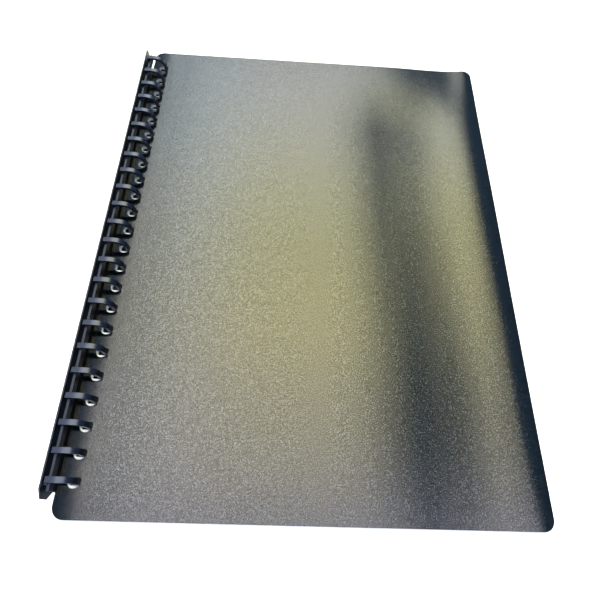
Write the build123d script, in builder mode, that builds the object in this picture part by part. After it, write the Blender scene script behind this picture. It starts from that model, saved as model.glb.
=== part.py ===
"""Refillable A4 display book, closed and lying on its back cover.

A comb of flat D-shaped rings runs through punched holes in two covers and ten clear
pockets. Its hooked finger tips and its root rail lock into a bar that slides on along
the spine. The real comb is one moulding: here each ring is a solid of its own that meets
the rail face to face, so that the gaps between the rings stay open. X runs across the
covers, Y along the spine and Z up from the table.
"""

import os
from math import atan2, cos, pi, sin, sqrt

from build123d import *

os.makedirs("parts", exist_ok=True)

# Ring comb
ring_count = 23
ring_pitch = 12.7
ring_height = 18.0
band_thickness = 1.6
band_width = 2.8
bend_sides = 16
hook_thickness = 0.6
hook_depth = 1.8
barb_reach = 0.3

# Spine bar
spine_length = 295.5
spine_wall = 0.8
groove_width = 1.9
strip_width = 1.0
strip_drop = 0.7
lip_reach = 0.3
lip_height = 0.4
strip_setback = 3.3
top_chamfer_length = 4.2
top_chamfer_rise = 3.2
foot_chamfer_length = 6.5
foot_chamfer_rise = 8.6
end_stop = 0.8

# Punched leaves
hole_diameter = 6.1
hole_inset = 7.4
cover_width = 234.0
cover_height = 312.0
cover_thickness = 0.7
cover_corner = 6.0
cover_hole_sides = 16
pocket_count = 10
film_width = 231.0
film_height = 304.0
film_thickness = 0.1
slot_width = 3.4
weld_inset = 18.0
mouth_step = 4.0

# Bends of the covers
margin_width = 14.0
margin_rise = 4.35
step_length = 26.0
bow_length = 98.0
bow_depth = 0.15
fall_length = 46.0
fall_depth = 1.73
hollow_length = 30.0
hollow_depth = 2.71
rise_length = 24.0
rise_depth = 1.33
edge_rise = 0.43

# Clearances
hook_clearance = 0.1
ring_clearance = 0.25
leaf_clearance = 0.3
pocket_lift = 0.4
pocket_clearance = 0.03
middle_clearance = 0.7
lid_clearance = 0.1
rest_clearance = 0.2

half_turn = 180

# Places worked out from the sizes above
ring_radius = ring_height / 2
hole_reach = sqrt((hole_diameter / 2) ** 2 - (band_width / 2) ** 2)
bar_reach = leaf_clearance + strip_width + groove_width + spine_wall
leaf_edge = (bar_reach - cover_width) / 2
hole_x = leaf_edge + hole_inset
ring_x = hole_x + hole_reach - ring_clearance - ring_radius
strip_right = leaf_edge - leaf_clearance
strip_left = strip_right - strip_width
wall_right = strip_left - groove_width
wall_left = wall_right - spine_wall
barb_right = strip_left - hook_clearance
hook_right = barb_right - barb_reach
hook_left = hook_right - hook_thickness
comb_length = (ring_count - 1) * ring_pitch + band_width

pocket_thickness = 2 * film_thickness
pocket_pitch = pocket_thickness + pocket_clearance
pocket_floor = margin_rise + cover_thickness + pocket_lift
pocket_top = pocket_floor + pocket_count * pocket_pitch + middle_clearance
pocket_tilt = atan2(pocket_floor - cover_thickness - rest_clearance, film_width)
lid_level = pocket_top + lid_clearance

step_start = leaf_edge + margin_width
step_end = step_start + step_length
step_middle = (step_start + step_end) / 2
cover_edge = leaf_edge + cover_width
bow_end = step_start + bow_length
fall_end = bow_end + fall_length
hollow_middle = fall_end + hollow_length
rise_end = hollow_middle + rise_length

# Heights of the hooks and the grooves, from the middle of the ring
leg_inside = ring_radius - band_thickness
hook_end = leg_inside - hook_depth
strip_top = leg_inside - strip_drop
lip_base = strip_top - lip_height
barb_top = lip_base - hook_clearance
groove_floor = hook_end - hook_clearance
groove_under = groove_floor - spine_wall

# Section and side planes, with their middle at the rings' mid-height
section = Plane(origin=(0, 0, ring_radius), x_dir=(1, 0, 0), z_dir=(0, -1, 0))
side_view = Plane(origin=(0, 0, ring_radius), x_dir=(0, 1, 0), z_dir=(1, 0, 0))


def hook_outline():
    """Points of the upper hook, from the leg's outer end round to its inside."""
    return [
        (hook_left, ring_radius),
        (hook_left, hook_end),
        (barb_right, hook_end),
        (barb_right, barb_top),
        (hook_right, barb_top),
        (hook_right, leg_inside),
    ]


def lower(points):
    """The same points turned over to the lower leg."""
    return [(x, -z) for x, z in points]


def bend(radius):
    """Points of a ring's half-round bend, from its upper end round to its lower one."""
    turns = [pi / 2 - pi * side / bend_sides for side in range(bend_sides + 1)]
    return [(ring_x + radius * cos(turn), radius * sin(turn)) for turn in turns]


# Rail along the foot of the spine, from which the comb's rings rise
with BuildPart() as ring_rail:
    with BuildSketch(section):
        with BuildLine():
            Polyline(*lower(hook_outline()), (hook_right, -ring_radius), close=True)
        make_face()
    extrude(amount=comb_length / 2, both=True)
ring_rail.part.label = "ring_rail"
export_step(ring_rail.part, "parts/ring_rail.step")

# Rings, counted from the head of the book: a flat band bent to a D, with a hooked tip
for number in range(1, ring_count + 1):
    ring_y = ((ring_count + 1) / 2 - number) * ring_pitch
    with BuildPart() as ring:
        with BuildSketch(section.offset(-ring_y)):
            with BuildLine():
                Polyline(
                    *hook_outline(),
                    *bend(leg_inside),
                    (hook_right, -leg_inside),
                    (hook_right, -ring_radius),
                    *reversed(bend(ring_radius)),
                    close=True,
                )
            make_face()
        extrude(amount=band_width / 2, both=True)
    ring.part.label = f"ring_{number:02d}"
    export_step(ring.part, f"parts/{ring.part.label}.step")

# Spine bar: an outer wall with a lipped groove along its top and its foot. The grooves stop
# short of the wall's ends, and one end of each is closed.
with BuildPart() as spine_bar:
    with BuildSketch(section):
        with Locations(((wall_left + wall_right) / 2, 0)):
            Rectangle(spine_wall, ring_height)
    extrude(amount=spine_length / 2, both=True)
    with BuildSketch(section):
        with BuildLine():
            Polyline(
                (wall_right, groove_floor),
                (strip_left, groove_floor),
                (strip_left, lip_base),
                (strip_left - lip_reach, lip_base),
                (strip_left - lip_reach, strip_top),
                (strip_right, strip_top),
                (strip_right, groove_under),
                (wall_right, groove_under),
                close=True,
            )
        make_face()
        mirror(about=Plane.XZ)
    extrude(amount=spine_length / 2 - strip_setback, both=True)
    with BuildSketch(section.offset(comb_length / 2 + hook_clearance)):
        with BuildLine():
            Polyline(
                (wall_right, groove_floor),
                (wall_right, strip_top),
                (strip_left, strip_top),
                (strip_left, groove_floor),
                close=True,
            )
        make_face()
        mirror(about=Plane.XZ)
    extrude(amount=end_stop)
    with BuildSketch(side_view):
        with BuildLine():
            Polyline(
                (0, ring_radius),
                (spine_length / 2 - top_chamfer_length, ring_radius),
                (spine_length / 2, ring_radius - top_chamfer_rise),
                (spine_length / 2, foot_chamfer_rise - ring_radius),
                (spine_length / 2 - foot_chamfer_length, -ring_radius),
                (0, -ring_radius),
            )
            mirror(about=Plane.YZ)
        make_face()
    extrude(amount=cover_width, both=True, mode=Mode.INTERSECT)
spine_bar.part.label = "spine_bar"
export_step(spine_bar.part, "parts/spine_bar.step")

# Outline that both covers are cut to, with a row of near-round holes for the rings
with BuildSketch() as cover_outline:
    with Locations((leaf_edge + cover_width / 2, 0)):
        RectangleRounded(cover_width, cover_height, cover_corner)
    with Locations((hole_x, 0)):
        with GridLocations(ring_pitch, ring_pitch, 1, ring_count):
            RegularPolygon(
                hole_diameter / 2,
                cover_hole_sides,
                major_radius=False,
                rotation=half_turn / cover_hole_sides,
                mode=Mode.SUBTRACT,
            )

# Back cover: its punched margin stands up on the rings, and the rest lies on the table
with BuildPart() as back_cover:
    with BuildSketch(Plane.XZ):
        with BuildLine():
            margin = Line((leaf_edge, margin_rise), (step_start, margin_rise))
            crown = TangentArc(margin @ 1, (step_middle, margin_rise / 2), tangent=margin % 1)
            foot = TangentArc(crown @ 1, (step_end, 0), tangent=crown % 1)
            Line(foot @ 1, (cover_edge, 0))
            offset(amount=cover_thickness, side=Side.LEFT)
        make_face()
    extrude(amount=cover_height / 2, both=True)
    extrude(cover_outline.sketch, amount=ring_height, mode=Mode.INTERSECT)
back_cover.part.label = "back_cover"
export_step(back_cover.part, "parts/back_cover.step")

# Front cover: flat over most of its width, then dipped into a hollow with its free edge up
with BuildPart() as front_cover:
    with BuildSketch(Plane.XZ):
        with BuildLine():
            margin = Line((leaf_edge, lid_level), (step_start, lid_level))
            bow = TangentArc(margin @ 1, (bow_end, lid_level - bow_depth), tangent=margin % 1)
            fall = TangentArc(bow @ 1, (fall_end, lid_level - fall_depth), tangent=bow % 1)
            hollow = TangentArc(
                fall @ 1, (hollow_middle, lid_level - hollow_depth), tangent=fall % 1
            )
            rise = TangentArc(hollow @ 1, (rise_end, lid_level - rise_depth), tangent=hollow % 1)
            TangentArc(rise @ 1, (cover_edge, lid_level + edge_rise), tangent=rise % 1)
            offset(amount=cover_thickness, side=Side.LEFT)
        make_face()
    extrude(amount=cover_height / 2, both=True)
    extrude(cover_outline.sketch, amount=ring_height, mode=Mode.INTERSECT)
front_cover.part.label = "front_cover"
export_step(front_cover.part, "parts/front_cover.step")

# Pockets, counted from the front: a back film slotted for the rings, with a shorter front
# film on it. The book parts at its middle, so the rear half of the pockets lies lower.
for number in range(1, pocket_count + 1):
    drop = number * pocket_pitch
    if number > pocket_count / 2:
        drop += middle_clearance
    film_plane = Plane(
        origin=(leaf_edge, 0, pocket_top - drop),
        x_dir=(cos(pocket_tilt), 0, -sin(pocket_tilt)),
        z_dir=(sin(pocket_tilt), 0, cos(pocket_tilt)),
    )
    with BuildPart() as back_film:
        with BuildSketch(film_plane):
            Rectangle(film_width, film_height, align=(Align.MIN, Align.CENTER))
            with Locations((hole_inset, 0)):
                with GridLocations(ring_pitch, ring_pitch, 1, ring_count):
                    Rectangle(hole_diameter, slot_width, mode=Mode.SUBTRACT)
        extrude(amount=film_thickness)
    back_film.part.label = f"pocket_{number:02d}_back_film"
    export_step(back_film.part, f"parts/{back_film.part.label}.step")

    with BuildPart() as front_film:
        with BuildSketch(film_plane.offset(film_thickness)):
            with Locations((weld_inset, -mouth_step / 2)):
                Rectangle(
                    film_width - weld_inset,
                    film_height - mouth_step,
                    align=(Align.MIN, Align.CENTER),
                )
        extrude(amount=film_thickness)
    front_film.part.label = f"pocket_{number:02d}_front_film"
    export_step(front_film.part, f"parts/{front_film.part.label}.step")
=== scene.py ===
"""Dress for a closed A4 display book: grained black covers, clear pockets and a ring comb.

Sizes are in millimetres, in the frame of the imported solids: X across the covers away from
the spine, Y along the spine towards the head and Z up from the table. Meshes are built in
metres, and the floor, the lights and the camera are given in metres.
"""

import math

import bpy
from mathutils import Color, Euler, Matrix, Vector


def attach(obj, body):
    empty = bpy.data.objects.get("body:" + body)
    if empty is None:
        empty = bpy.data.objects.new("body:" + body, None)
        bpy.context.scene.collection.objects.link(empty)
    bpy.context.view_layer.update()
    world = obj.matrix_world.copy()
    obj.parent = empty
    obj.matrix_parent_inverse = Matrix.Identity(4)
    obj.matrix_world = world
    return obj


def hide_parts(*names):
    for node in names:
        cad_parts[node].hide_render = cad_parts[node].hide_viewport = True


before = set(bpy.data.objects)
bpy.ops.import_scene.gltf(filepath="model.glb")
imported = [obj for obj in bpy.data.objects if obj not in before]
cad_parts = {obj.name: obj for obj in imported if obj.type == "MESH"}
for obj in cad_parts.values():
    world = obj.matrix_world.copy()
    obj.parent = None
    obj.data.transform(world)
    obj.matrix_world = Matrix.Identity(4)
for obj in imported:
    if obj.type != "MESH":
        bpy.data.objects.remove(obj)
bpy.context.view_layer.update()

MM = 0.001

# Ring comb, with the heights of its hooks from the rings' mid-height. A bend of power 2 would
# be a half round, and a higher power leaves it flatter on top.
RING_COUNT = 23
RING_PITCH = 12.7
RING_RADIUS = 9.0
RING_X = -114.14
BAND_THICKNESS = 1.6
BAND_WIDTH = 2.8
BEND_STEPS = 40
BEND_POWER = 2.7
COMB_LENGTH = 282.2
HOOK_LEFT = -117.3
HOOK_RIGHT = -116.7
BARB_RIGHT = -116.4
HOOK_END = 5.6
BARB_TOP = 6.2
# Under half of the barb's reach, so that the rounds along its two edges don't meet
COMB_EDGE = 0.145
COMB_EDGE_STEPS = 3

# Spine bar, with the heights of its grooves from the rings' mid-height and the upper groove's
# floor before the lower one's. A slope is its length along the bar, then its height.
BAR_LENGTH = 295.5
WALL_LEFT = -119.0
WALL_RIGHT = -118.2
STRIP_LEFT = -116.3
STRIP_RIGHT = -115.3
STRIP_TOP = 6.7
LIP_REACH = 0.3
LIP_BASE = 6.3
GROOVE_FLOORS = (3.0, 5.5)
GROOVE_WALL = 0.8
STRIP_SETBACK = 3.3
UPPER_FOOT_SLOPE = (4.2, 3.2)
UPPER_HEAD_SLOPE = (1.6, 1.2)
LOWER_SLOPE = (6.5, 8.6)
END_STOP = 0.8
HOOK_CLEARANCE = 0.1
BAR_EDGE = 0.09
# How far the grooves and their stops run into the wall and into each other
SINK = 0.3

# Covers
LEAF_EDGE = -115.0
HOLE_INSET = 7.4
HOLE_RADIUS = 3.05
HOLE_HEADROOM = 1.8
# A shade under the real 234, so that the curled free edge stays within that width
COVER_WIDTH = 233.86
COVER_HEIGHT = 312.0
COVER_THICKNESS = 0.7
COVER_CORNER = 6.0
CUT_EDGE = 0.14

# Bends of the covers' lower faces: distance from the spine edge, then height. The front cover
# goes over from its middle bends to those of its head and its foot between two places along Y.
LID_BENDS = [
    (14, 8.55),
    (112, 8.4),
    (160, 6.41),
    (184, 5.45),
    (208, 7.13),
    (217, 8.32),
    (223, 8.85),
    (234, 8.02),
]
HEAD_BENDS = [
    (14, 8.55),
    (165, 8.45),
    (190, 8.0),
    (212, 7.615),
    (222, 8.165),
    (228, 8.825),
    (234, 8.885),
]
HEAD_ALONG = (90.0, 156.0)
FOOT_BENDS = [
    (14, 8.55),
    (112, 8.4),
    (158, 6.95),
    (174, 5.85),
    (195, 5.05),
    (212, 5.9),
    (221, 6.75),
    (225, 7.07),
    (234, 6.8),
]
FOOT_ALONG = (65.0, -100.0)
BASE_BENDS = [(14, 4.35), (27, 2.175), (40, 0.0), (234, 0.0)]

# Pockets
POCKET_COUNT = 10
FILM_WIDTH = 231.0
FILM_HEIGHT = 304.0
FILM_THICKNESS = 0.1
FILM_CORNER = 2.0
# Air between the two films of a pocket
FILM_GAP = 0.012
SLOT_HALF = (3.05, 1.7)
SLOT_HEADROOM = 3.3
POCKET_TOP = 8.45
POCKET_PITCH = 0.23
MIDDLE_CLEARANCE = 0.7
# Fall of the pockets from the rings to the free edge, in radians
POCKET_TILT = 0.019695
WELD_INSET = 18.0
WELD_WIDTH = 2.0
MOUTH_STEP = 4.0

# Meshes of the sheets: columns of the punched margin, rows beside each hole, and the power that
# rounds a slot's corners, which 2 would make an oval
MARGIN_COLUMNS = [0, 1, 2, 3, 4, 5, 6, 7.5, 9, 10.5, 12, 14, 16, 18]
COVER_CELL_ROWS = 8
FILM_CELL_ROWS = 4
SQUARENESS = 6

# An edge is rounded where its faces meet at more than this many degrees
SHARP_TURN = 35

ring_middles = [(number - (RING_COUNT - 1) / 2) * RING_PITCH for number in range(RING_COUNT)]


def hue(code):
    """Linear colour, with alpha, from an sRGB hex value."""
    parts = [int(code[place : place + 2], 16) / 255 for place in (1, 3, 5)]
    return (*Color(parts).from_srgb_to_scene_linear(), 1.0)


def steps(start, end, count):
    """Evenly spaced numbers from start to end, both included."""
    return [start + (end - start) * place / count for place in range(count + 1)]


def ease(value, span):
    """Smooth rise from 0 to 1 over a span."""
    part = min(max((value - span[0]) / (span[1] - span[0]), 0.0), 1.0)
    return part * part * (3 - 2 * part)


def bent_run(bends):
    """Height along a run that starts level and bends from point to point without a kink."""

    def height(x):
        level, slope = bends[0][1], 0.0
        for (start, low), (end, high) in zip(bends, bends[1:]):
            length = end - start
            next_slope = 2 * (high - low) / length - slope
            if start < x:
                part = min(x, end) - start
                level = low + slope * part + (next_slope - slope) * part**2 / (2 * length)
            slope = next_slope
        return level

    return height


# Meshes


def set_down(name, data):
    """Object of that name, put into the scene."""
    made = bpy.data.objects.new(name, data)
    bpy.context.collection.objects.link(made)
    return made


def make_piece(name, points, faces, materials, body, slot, nodes, indices=None):
    """Mesh piece from points in millimetres, riding on a body and standing for its nodes."""
    mesh = bpy.data.meshes.new(name)
    mesh.from_pydata([Vector(point) * MM for point in points], [], faces)
    for material in materials:
        mesh.materials.append(material)
    if indices:
        mesh.polygons.foreach_set("material_index", indices)
    mesh.polygons.foreach_set("use_smooth", [True] * len(faces))
    piece = set_down(name, mesh)
    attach(piece, body)
    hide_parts(*nodes)
    return piece


def thicken(piece, thickness):
    """Give a flat sheet its thickness, upwards from its lower face."""
    solid = piece.modifiers.new("thickness", "SOLIDIFY")
    solid.thickness = thickness * MM
    solid.offset = 1


def round_edges(piece, width, segments=2):
    """Small round along every sharp edge, as a mould or a worn die leaves it."""
    bevel = piece.modifiers.new("edge_round", "BEVEL")
    bevel.width = width * MM
    bevel.segments = segments
    bevel.limit_method = "ANGLE"
    bevel.angle_limit = math.radians(SHARP_TURN)
    bevel.harden_normals = True


def draw_in(x, y, width, height, corner):
    """Point of a square-cornered sheet, drawn in to its rounded corner."""
    across = x - min(max(x, corner), width - corner)
    along = y - min(max(y, corner - height / 2), height / 2 - corner)
    u, v = across / corner, along / corner
    return (
        x - across + corner * u * math.sqrt(1 - v * v / 2),
        y - along + corner * v * math.sqrt(1 - u * u / 2),
    )


def punched_sheet(width, height, corner, columns, end_rows, cell_rows, hole):
    """Flat sheet with its spine edge at x = 0: a patch round each hole, and a grid beside it."""
    places, faces = {}, []
    half_pitch = RING_PITCH / 2

    def place(x, y):
        """Number of the point there: points that agree to four digits are one."""
        return places.setdefault((round(x, 4), round(y, 4)), len(places))

    def grid(xs, ys):
        for x0, x1 in zip(xs, xs[1:]):
            for y0, y1 in zip(ys, ys[1:]):
                faces.append([place(x0, y0), place(x1, y0), place(x1, y1), place(x0, y1)])

    rows = []
    for middle in ring_middles:
        low, high = middle - half_pitch, middle + half_pitch
        up = steps(low, high, cell_rows)
        rim = [(MARGIN_COLUMNS[-1], y) for y in up[:-1]]
        rim += [(x, high) for x in MARGIN_COLUMNS[:0:-1]]
        rim += [(0, y) for y in up[:0:-1]]
        rim += [(x, low) for x in MARGIN_COLUMNS[:-1]]
        inner = []
        for x, y in rim:
            turn = math.atan2(y - middle, x - HOLE_INSET)
            reach = hole(turn)
            inner.append((HOLE_INSET + reach * math.cos(turn), middle + reach * math.sin(turn)))
        for k in range(len(rim)):
            after = (k + 1) % len(rim)
            patch = [rim[k], rim[after], inner[after], inner[k]]
            faces.append([place(x, y) for x, y in patch])
        rows += up[:-1]
    rows.append(ring_middles[-1] + half_pitch)
    foot = [-y for y in end_rows[::-1]]
    for ends in (foot + [rows[0]], [rows[-1]] + end_rows):
        grid(MARGIN_COLUMNS, ends)
    grid(columns, foot + rows + end_rows)
    points = [draw_in(x, y, width, height, corner) for x, y in places]
    return points, faces


def extruded(outline, start, end):
    """Points and faces of a section in X and height, drawn along Y, its outline anticlockwise."""
    count = len(outline)
    points = [(x, start, z) for x, z in outline] + [(x, end, z) for x, z in outline]
    faces = [list(range(count)), list(range(2 * count - 1, count - 1, -1))]
    for k in range(count):
        after = (k + 1) % count
        faces.append([after, k, count + k, count + after])
    return points, faces


def joined(parts):
    """Points and faces of several meshes as one."""
    points, faces = [], []
    for part_points, part_faces in parts:
        first = len(points)
        points += part_points
        faces += [[first + corner for corner in face] for face in part_faces]
    return points, faces


# Materials

# Sand grain of the covers. It flattens to a part of its height over a span towards the punched
# margin, measured from the spine edge, and towards the curl, measured from the free edge. The
# painted glints on its tops fade by the same parts, so the margin beside the rings is left dark
# as painted shade of the rings.
GRAIN_SIZE = 0.5
GRAIN_DEPTH = 0.06
MARGIN_SPAN = (9.0, 24.0)
MARGIN_GRAIN_AND_GLINTS = 0.15
CURL_SPAN = (10.0, 2.0)
CURL_GRAIN_AND_GLINTS = 0.3

# Sizes and depths of the other patterns
FLOW_SIZE = 6.0
BLAST_DEPTH = 0.02
WAVE_SIZE = 45.0
WAVE_DEPTH = 1.5
HAZE_SIZE = 3.0
STIPPLE_SIZE = 4.0
STIPPLE_DEPTH = 0.1

FILM_IOR = 1.49


def add_node(tree, kind, values=None, links=None, **settings):
    """Add a node with its settings, socket values and incoming links."""
    made = tree.nodes.new(kind)
    for name, value in settings.items():
        setattr(made, name, value)
    for name, value in (values or {}).items():
        made.inputs[name].default_value = value
    for name, (source, output) in (links or {}).items():
        tree.links.new(source.outputs[output], made.inputs[name])
    return made


def new_material(name):
    """Empty node material, with its tree and the place that every pattern is measured from."""
    material = bpy.data.materials.new(name)
    material.use_nodes = True
    tree = material.node_tree
    tree.nodes.clear()
    return material, tree, add_node(tree, "ShaderNodeTexCoord")


def per_metre(size):
    """Pattern scale for a feature of that size in millimetres."""
    return 1 / (size * MM)


def grained_sheet():
    """Extruded black polypropylene sheet, rolled with a sand grain while hot.

    The grain spreads the reflection. Grey specks on its tops are painted glints in the base
    colour, and a greyer tint of the reflection in its pits is painted shade. A real grain of
    about 0.3 mm is finer than a pixel here, so it is drawn at 0.5 mm. It lies flatter, and the
    sheet is smoother, where the punched margin was pressed again, and it lies flatter where the
    free edge curls down; the painted specks fade there too, which leaves the margin beside the
    rings dark as painted shade.
    """
    material, tree, place = new_material("polypropylene_sheet_sand_grain")
    grain = add_node(
        tree,
        "ShaderNodeTexNoise",
        {"Scale": per_metre(GRAIN_SIZE), "Detail": 2.0, "Roughness": 0.7},
        {"Vector": (place, "Object")},
    )
    across = add_node(tree, "ShaderNodeSeparateXYZ", links={"Vector": (place, "Object")})
    margin = add_node(
        tree,
        "ShaderNodeMapRange",
        {
            "From Min": (LEAF_EDGE + MARGIN_SPAN[0]) * MM,
            "From Max": (LEAF_EDGE + MARGIN_SPAN[1]) * MM,
            "To Min": MARGIN_GRAIN_AND_GLINTS,
            "To Max": 1.0,
        },
        {"Value": (across, "X")},
    )
    curl = add_node(
        tree,
        "ShaderNodeMapRange",
        {
            "From Min": (LEAF_EDGE + COVER_WIDTH - CURL_SPAN[0]) * MM,
            "From Max": (LEAF_EDGE + COVER_WIDTH - CURL_SPAN[1]) * MM,
            "To Min": 1.0,
            "To Max": CURL_GRAIN_AND_GLINTS,
        },
        {"Value": (across, "X")},
    )
    grain_and_glint_strength = add_node(
        tree,
        "ShaderNodeMath",
        links={0: (margin, "Result"), 1: (curl, "Result")},
        operation="MINIMUM",
    )
    gloss = add_node(
        tree,
        "ShaderNodeMapRange",
        {"From Min": MARGIN_GRAIN_AND_GLINTS, "From Max": 1.0, "To Min": 0.08, "To Max": 0.14},
        {"Value": (margin, "Result")},
    )
    relief = add_node(
        tree,
        "ShaderNodeBump",
        {"Distance": GRAIN_DEPTH * MM},
        {"Height": (grain, "Fac"), "Strength": (grain_and_glint_strength, "Value")},
    )
    # Painted glints: grey specks in the base colour where the grain's tops would catch light,
    # faded in the margin and at the curl
    painted_glints = add_node(
        tree,
        "ShaderNodeMapRange",
        {"From Min": 0.54, "From Max": 0.7},
        {"Value": (grain, "Fac"), "To Max": (grain_and_glint_strength, "Value")},
    )
    shade = add_node(tree, "ShaderNodeValToRGB", links={"Fac": (painted_glints, "Result")})
    shade.color_ramp.elements[0].color = hue("#000203")
    shade.color_ramp.elements[1].color = hue("#353F46")
    # Painted shade: the reflection is tinted grey in the grain's pits
    pit_shade = add_node(tree, "ShaderNodeValToRGB", links={"Fac": (grain, "Fac")})
    pit_shade.color_ramp.elements[0].position = 0.38
    pit_shade.color_ramp.elements[0].color = hue("#BCBCBC")
    pit_shade.color_ramp.elements[1].position = 0.58
    pit_shade.color_ramp.elements[1].color = hue("#FFFFFF")
    skin = add_node(
        tree,
        "ShaderNodeBsdfPrincipled",
        {"IOR": 1.58},
        {
            "Base Color": (shade, "Color"),
            "Roughness": (gloss, "Result"),
            "Normal": (relief, "Normal"),
            "Specular Tint": (pit_shade, "Color"),
        },
    )
    add_node(tree, "ShaderNodeOutputMaterial", links={"Surface": (skin, "BSDF")})
    return material


def black_moulding(name, blast_size, roughness, ior):
    """Black polypropylene off a blasted tool: satin, with slow flow marks in its gloss.

    The marks of the blast are finer than a pixel here, so they are drawn coarser.
    """
    material, tree, place = new_material(name)
    flow = add_node(
        tree,
        "ShaderNodeTexNoise",
        {"Scale": per_metre(FLOW_SIZE), "Detail": 4.0, "Roughness": 0.6},
        {"Vector": (place, "Object")},
    )
    blast = add_node(
        tree,
        "ShaderNodeTexNoise",
        {"Scale": per_metre(blast_size), "Detail": 2.0},
        {"Vector": (place, "Object")},
    )
    gloss = add_node(
        tree,
        "ShaderNodeMapRange",
        {"From Min": 0.3, "From Max": 0.7, "To Min": roughness[0], "To Max": roughness[1]},
        {"Value": (flow, "Fac")},
    )
    relief = add_node(
        tree,
        "ShaderNodeBump",
        {"Strength": 0.2, "Distance": BLAST_DEPTH * MM},
        {"Height": (blast, "Fac")},
    )
    shade = add_node(tree, "ShaderNodeValToRGB", links={"Fac": (flow, "Fac")})
    shade.color_ramp.elements[0].color = hue("#03050B")
    shade.color_ramp.elements[1].color = hue("#0A0D17")
    # The reflection is tinted pale blue, a painted cool cast in the highlights
    skin = add_node(
        tree,
        "ShaderNodeBsdfPrincipled",
        {"IOR": ior, "Specular Tint": hue("#CCD9FF")},
        {
            "Base Color": (shade, "Color"),
            "Roughness": (gloss, "Result"),
            "Normal": (relief, "Normal"),
        },
    )
    add_node(tree, "ShaderNodeOutputMaterial", links={"Surface": (skin, "BSDF")})
    return material


def clear_film():
    """Cast clear polypropylene film: glossy, with a slow waviness where it was wound."""
    material, tree, place = new_material("polypropylene_cast_film_clear")
    wave = add_node(
        tree,
        "ShaderNodeTexNoise",
        {"Scale": per_metre(WAVE_SIZE), "Detail": 1.0},
        {"Vector": (place, "Object")},
    )
    relief = add_node(
        tree,
        "ShaderNodeBump",
        {"Strength": 0.25, "Distance": WAVE_DEPTH * MM},
        {"Height": (wave, "Fac")},
    )
    gloss = add_node(
        tree,
        "ShaderNodeMapRange",
        {"To Min": 0.06, "To Max": 0.14},
        {"Value": (wave, "Fac")},
    )
    skin = add_node(
        tree,
        "ShaderNodeBsdfPrincipled",
        {"Base Color": hue("#8E9396"), "IOR": FILM_IOR, "Alpha": 0.08},
        {"Roughness": (gloss, "Result"), "Normal": (relief, "Normal")},
    )
    add_node(tree, "ShaderNodeOutputMaterial", links={"Surface": (skin, "BSDF")})
    return material


def milky_margin():
    """Punched binding strip of thicker film, milky and faintly cloudy from its fine matt roll."""
    material, tree, place = new_material("polypropylene_film_margin_milky")
    haze = add_node(
        tree,
        "ShaderNodeTexNoise",
        {"Scale": per_metre(HAZE_SIZE), "Detail": 3.0},
        {"Vector": (place, "Object")},
    )
    shade = add_node(tree, "ShaderNodeValToRGB", links={"Fac": (haze, "Fac")})
    shade.color_ramp.elements[0].color = hue("#EEF3FC")
    shade.color_ramp.elements[1].color = hue("#FAFCFF")
    skin = add_node(
        tree,
        "ShaderNodeBsdfPrincipled",
        {"IOR": FILM_IOR, "Roughness": 0.3, "Alpha": 0.92},
        {"Base Color": (shade, "Color")},
    )
    add_node(tree, "ShaderNodeOutputMaterial", links={"Surface": (skin, "BSDF")})
    return material


def matt_floor():
    """Matt white paint, with a faint roller texture."""
    material, tree, place = new_material("paint_matt_white")
    stipple = add_node(
        tree,
        "ShaderNodeTexNoise",
        {"Scale": per_metre(STIPPLE_SIZE), "Detail": 2.0},
        {"Vector": (place, "Object")},
    )
    relief = add_node(
        tree,
        "ShaderNodeBump",
        {"Strength": 0.05, "Distance": STIPPLE_DEPTH * MM},
        {"Height": (stipple, "Fac")},
    )
    skin = add_node(
        tree,
        "ShaderNodeBsdfPrincipled",
        {"Base Color": hue("#F2F2F0"), "Roughness": 0.9},
        {"Normal": (relief, "Normal")},
    )
    add_node(tree, "ShaderNodeOutputMaterial", links={"Surface": (skin, "BSDF")})
    return material


cover_sheet = grained_sheet()
comb_skin = black_moulding(
    "polypropylene_comb_satin", blast_size=0.4, roughness=(0.26, 0.34), ior=1.6
)
bar_skin = black_moulding(
    "polypropylene_bar_matt", blast_size=0.6, roughness=(0.36, 0.46), ior=1.55
)
film = clear_film()
margin_strip = milky_margin()

# Covers: punched sheets bent along X, thickened from their lower face


def rounded_reach(turn, half_width, half_height):
    """Distance from a slot's middle to its round-cornered edge."""
    across = abs(math.cos(turn)) / half_width
    along = abs(math.sin(turn)) / half_height
    return (across**SQUARENESS + along**SQUARENESS) ** (-1 / SQUARENESS)


def hole_reach(turn):
    """Edge of a cover's hole: round towards the foot, and flattened where the ring bears."""
    if math.sin(turn) < 0:
        return HOLE_RADIUS
    return rounded_reach(turn, HOLE_RADIUS, HOLE_HEADROOM)


lid_run = bent_run(LID_BENDS)
head_run = bent_run(HEAD_BENDS)
foot_run = bent_run(FOOT_BENDS)
base_run = bent_run(BASE_BENDS)


def lid_height(x, y):
    """Lower face of the front cover, whose hollow lies further out at its head and its foot."""
    head, foot = ease(y, HEAD_ALONG), ease(y, FOOT_ALONG)
    return (1 - head - foot) * lid_run(x) + head * head_run(x) + foot * foot_run(x)


def base_height(x, y):
    """Lower face of the back cover, the same all along the spine."""
    return base_run(x)


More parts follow.
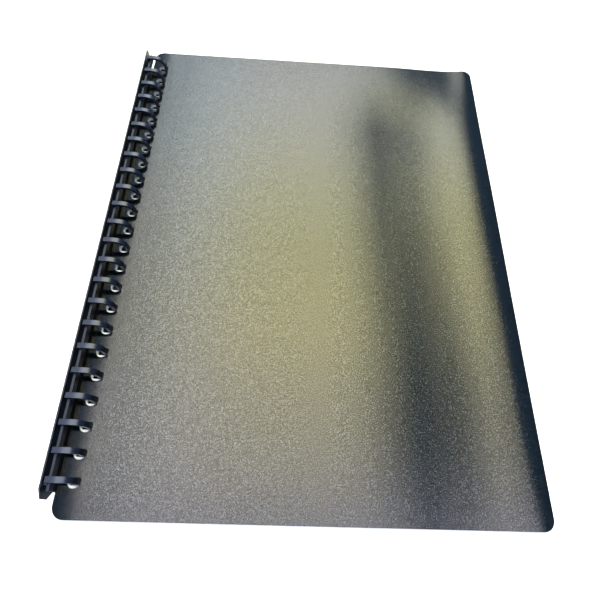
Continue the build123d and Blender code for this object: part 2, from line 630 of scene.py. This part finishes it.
# Columns 2 mm apart, and columns and rows about 1 mm apart at the rounded corners
cover_columns = [MARGIN_COLUMNS[-1]] + steps(20, 228, 104) + steps(229, COVER_WIDTH, 5)
cover_ends = [148, 150] + steps(151, COVER_HEIGHT / 2, 5)
flat_points, sheet_faces = punched_sheet(
    COVER_WIDTH,
    COVER_HEIGHT,
    COVER_CORNER,
    cover_columns,
    cover_ends,
    COVER_CELL_ROWS,
    hole_reach,
)
for name, height in (("front_cover", lid_height), ("back_cover", base_height)):
    cover = make_piece(
        f"{name}_sheet",
        [(LEAF_EDGE + x, y, height(x, y)) for x, y in flat_points],
        sheet_faces,
        [cover_sheet],
        name,
        "cover_sheet",
        [name],
    )
    thicken(cover, COVER_THICKNESS)
    round_edges(cover, CUT_EDGE)

# Pockets: a slotted back film and a shorter front film, welded along three sides


def slot_reach(turn):
    """Edge of a film's slot, which reaches further towards the head than towards the foot."""
    if math.sin(turn) < 0:
        return rounded_reach(turn, *SLOT_HALF)
    return rounded_reach(turn, SLOT_HALF[0], SLOT_HEADROOM)


# Columns 11 mm apart are enough for flat films, with closer ones at the weld and the corners
film_columns = [MARGIN_COLUMNS[-1]] + steps(29, 227, 18) + [229, 230, FILM_WIDTH]
film_ends = [150, 151, FILM_HEIGHT / 2]
film_flat, film_faces = punched_sheet(
    FILM_WIDTH,
    FILM_HEIGHT,
    FILM_CORNER,
    film_columns,
    film_ends,
    FILM_CELL_ROWS,
    slot_reach,
)
# The front film has a column and a row at each weld, and its other rows are 15 mm apart
front_columns = [WELD_INSET, WELD_INSET + WELD_WIDTH] + film_columns[1:-2] + [FILM_WIDTH]
front_top = FILM_HEIGHT / 2 - MOUTH_STEP
front_rows = [-FILM_HEIGHT / 2] + steps(WELD_WIDTH - FILM_HEIGHT / 2, front_top, 20)
front_flat = [(x, y) for x in front_columns for y in front_rows]
front_faces = []
for column in range(len(front_columns) - 1):
    for row in range(len(front_rows) - 1):
        first = column * len(front_rows) + row
        beside = first + len(front_rows)
        front_faces.append([first, beside, beside + 1, first + 1])

pocket_points, pocket_faces = joined(
    [
        ([(x, y, 0) for x, y in film_flat], film_faces),
        ([(x, y, FILM_THICKNESS + FILM_GAP) for x, y in front_flat], front_faces),
    ]
)
# Clear film is 0, and the milky margin and welds are 1
pocket_skins = []
for face in pocket_faces:
    middle_x = sum(pocket_points[corner][0] for corner in face) / len(face)
    middle_y = sum(pocket_points[corner][1] for corner in face) / len(face)
    in_margin = middle_x < WELD_INSET + WELD_WIDTH
    in_weld = middle_x > FILM_WIDTH - WELD_WIDTH or middle_y < WELD_WIDTH - FILM_HEIGHT / 2
    pocket_skins.append(int(in_margin or in_weld))

lean, fall = math.cos(POCKET_TILT), math.sin(POCKET_TILT)
for number in range(1, POCKET_COUNT + 1):
    level = POCKET_TOP - number * POCKET_PITCH
    if number > POCKET_COUNT / 2:
        level -= MIDDLE_CLEARANCE
    tilted = []
    for x, y, z in pocket_points:
        tilted.append((LEAF_EDGE + x * lean + z * fall, y, level - x * fall + z * lean))
    name = f"pocket_{number:02d}"
    pocket = make_piece(
        f"{name}_welded_film",
        tilted,
        pocket_faces,
        [film, margin_strip],
        name,
        "film",
        [f"{name}_back_film", f"{name}_front_film"],
        pocket_skins,
    )
    thicken(pocket, FILM_THICKNESS)

# Ring comb: flat bands bent to a D with hooked tips, on a rail along the foot of the spine


def bend_point(radius, turn):
    """Point of a ring's bend, which leaves its legs flatter than a half round would."""
    across, up = math.cos(turn), math.sin(turn)
    reach = (abs(across) ** BEND_POWER + abs(up) ** BEND_POWER) ** (-1 / BEND_POWER)
    return (RING_X + radius * reach * across, radius * reach * up)


def standing(outline):
    """Outline measured from the table instead of the rings' mid-height."""
    return [(x, z + RING_RADIUS) for x, z in outline]


leg_inside = RING_RADIUS - BAND_THICKNESS
hook = [
    (HOOK_LEFT, RING_RADIUS),
    (HOOK_LEFT, HOOK_END),
    (BARB_RIGHT, HOOK_END),
    (BARB_RIGHT, BARB_TOP),
    (HOOK_RIGHT, BARB_TOP),
    (HOOK_RIGHT, leg_inside),
]
turns = steps(math.pi / 2, -math.pi / 2, BEND_STEPS)
inner_bend = [bend_point(leg_inside, turn) for turn in turns]
outer_bend = [bend_point(RING_RADIUS, turn) for turn in turns]
root = [(HOOK_RIGHT, -leg_inside), (HOOK_RIGHT, -RING_RADIUS)]
band = hook + inner_bend + root + outer_bend[::-1]
rail = [(x, -z) for x, z in hook] + [(HOOK_RIGHT, -RING_RADIUS)]

comb_parts = [extruded(standing(rail[::-1]), -COMB_LENGTH / 2, COMB_LENGTH / 2)]
for middle in ring_middles:
    comb_parts.append(
        extruded(standing(band), middle - BAND_WIDTH / 2, middle + BAND_WIDTH / 2)
    )
comb = make_piece(
    "ring_comb",
    *joined(comb_parts),
    [comb_skin],
    "binder",
    "binding",
    ["ring_rail"] + [f"ring_{number:02d}" for number in range(1, RING_COUNT + 1)],
)
round_edges(comb, COMB_EDGE, COMB_EDGE_STEPS)

# Spine bar: outer wall with sloped ends, and a lipped groove along its top and its foot

bar_half = BAR_LENGTH / 2
bar_top = 2 * RING_RADIUS
wall_side = [
    (bar_half - LOWER_SLOPE[0], 0),
    (bar_half, LOWER_SLOPE[1]),
    (bar_half, bar_top - UPPER_HEAD_SLOPE[1]),
    (bar_half - UPPER_HEAD_SLOPE[0], bar_top),
    (UPPER_FOOT_SLOPE[0] - bar_half, bar_top),
    (-bar_half, bar_top - UPPER_FOOT_SLOPE[1]),
    (-bar_half, LOWER_SLOPE[1]),
    (LOWER_SLOPE[0] - bar_half, 0),
]
wall_points, wall_faces = extruded(wall_side[::-1], WALL_LEFT, WALL_RIGHT)
bar_parts = [([(x, y, z) for y, x, z in wall_points], wall_faces)]
groove_half = bar_half - STRIP_SETBACK
stop_start = -COMB_LENGTH / 2 - HOOK_CLEARANCE


def trimmed_below(part):
    """Part of the bar, cut back where it would stand past the wall's lower slopes."""
    points, faces = part
    trimmed = []
    for x, y, z in points:
        limit = bar_half - max(LOWER_SLOPE[1] - z, 0) * LOWER_SLOPE[0] / LOWER_SLOPE[1]
        trimmed.append((x, max(min(y, limit), -limit), z))
    return trimmed, faces


for side, floor_level in zip((1, -1), GROOVE_FLOORS):
    groove = [
        (WALL_RIGHT - SINK, floor_level - GROOVE_WALL),
        (STRIP_RIGHT, floor_level - GROOVE_WALL),
        (STRIP_RIGHT, STRIP_TOP),
        (STRIP_LEFT - LIP_REACH, STRIP_TOP),
        (STRIP_LEFT - LIP_REACH, LIP_BASE),
        (STRIP_LEFT, LIP_BASE),
        (STRIP_LEFT, floor_level),
        (WALL_RIGHT - SINK, floor_level),
    ]
    stop = [
        (WALL_RIGHT - SINK, floor_level - SINK),
        (STRIP_LEFT + SINK, floor_level - SINK),
        (STRIP_LEFT + SINK, STRIP_TOP),
        (WALL_RIGHT - SINK, STRIP_TOP),
    ]
    groove = [(x, side * z) for x, z in groove][::side]
    stop = [(x, side * z) for x, z in stop][::side]
    bar_parts.append(trimmed_below(extruded(standing(groove), -groove_half, groove_half)))
    bar_parts.append(extruded(standing(stop), stop_start - END_STOP, stop_start))
bar = make_piece(
    "spine_bar_channel",
    *joined(bar_parts),
    [bar_skin],
    "spine_bar",
    "binding",
    ["spine_bar"],
)
round_edges(bar, BAR_EDGE)

# Floor, lights, world and camera

FLOOR_REACH = 4.0

# Overhead light panel of seven strips, from far to near: middle along Y and both ends, then the
# radiance and tint of its cooler left part and of its warmer right part
PANEL_HEIGHT = 1.0
STRIP_DEPTH = 0.3
PANEL_SPLIT = -0.2
LIGHT_STRIPS = [
    (1.55, -0.475, 0.34, (6.3, "#ECFBFF"), (6.3, "#FFFDF8")),
    (1.25, -0.475, 0.36, (6.4, "#F2FCFB"), (6.8, "#FDFEF4")),
    (0.95, -0.475, 0.4, (7.8, "#F8FEF8"), (8.4, "#FFFCD4")),
    (0.65, -0.475, 0.4, (8.1, "#FEFCEC"), (8.7, "#FFF8B8")),
    (0.35, -0.475, 0.4, (7.9, "#FFFBE6"), (9.4, "#FFF5B8")),
    (0.05, -0.48, 0.385, (7.5, "#FFF9F2"), (7.5, "#FFF4D0")),
    (-0.25, -0.475, 0.54, (5.7, "#FFF8FF"), (5.3, "#F6F0FF")),
]

# Light beyond the foot of the book, turned towards it by so many degrees from straight down
FILL_SIZE = (0.9, 0.3)
FILL_POWER = 8.0
FILL_PLACE = (0, -0.8, 0.5)
FILL_TURN = 52

ROOM_TINT = "#86B4E6"
ROOM_STRENGTH = 0.66

# Camera fitted to the photograph, with its turns in degrees
CAMERA_LENS = 27.925
CAMERA_SENSOR = 36.0
CAMERA_NEAR = 0.01
CAMERA_PLACE = (-0.014463, -0.154828, 0.245449)
CAMERA_TURNS = (25.5775, -2.98139, 1.32737)

# Light passes through every film of the stacked pockets
FILM_PASSES = 64

floor_mesh = bpy.data.meshes.new("floor")
floor_corners = [(-1, -1), (1, -1), (1, 1), (-1, 1)]
floor_points = [(x * FLOOR_REACH, y * FLOOR_REACH, 0) for x, y in floor_corners]
floor_mesh.from_pydata(floor_points, [], [[0, 1, 2, 3]])
floor_mesh.materials.append(matt_floor())
floor = set_down("floor", floor_mesh)


def soft_light(name, size, place, turn=0):
    """Flat white light that faces straight down, or is turned about X from there."""
    light = bpy.data.lights.new(name, "AREA")
    light.shape = "RECTANGLE"
    light.size, light.size_y = size
    lamp = set_down(name, light)
    lamp.location = place
    lamp.rotation_euler = (math.radians(turn), 0, 0)
    return light


def panel_part(name, along, left, right, radiance, tint):
    """Part of an overhead strip, as bright as its radiance says whatever its length."""
    middle = ((left + right) / 2, along, PANEL_HEIGHT)
    light = soft_light(name, (right - left, STRIP_DEPTH), middle)
    light.energy = radiance * math.pi * light.size * light.size_y
    light.color = hue(tint)[:3]


for number, (along, left, right, cool, warm) in enumerate(LIGHT_STRIPS, 1):
    panel_part(f"panel_{number}_cool", along, left, PANEL_SPLIT, *cool)
    panel_part(f"panel_{number}_warm", along, PANEL_SPLIT, right, *warm)
fill = soft_light("front_fill", FILL_SIZE, FILL_PLACE, FILL_TURN)
fill.energy = FILL_POWER

scene = bpy.context.scene
world = bpy.data.worlds.new("studio")
scene.world = world
world.use_nodes = True
room = world.node_tree
room.nodes.clear()
sky = add_node(room, "ShaderNodeBackground", {"Color": hue(ROOM_TINT), "Strength": ROOM_STRENGTH})
add_node(room, "ShaderNodeOutputWorld", links={"Surface": (sky, "Background")})

lens = bpy.data.cameras.new("camera")
lens.lens = CAMERA_LENS
lens.sensor_width = CAMERA_SENSOR
lens.clip_start = CAMERA_NEAR
camera = set_down("camera", lens)
camera.location = CAMERA_PLACE
camera.rotation_euler = Euler([math.radians(turn) for turn in CAMERA_TURNS])
scene.camera = camera
scene.view_settings.view_transform = "Standard"
scene.cycles.transparent_max_bounces = FILM_PASSES
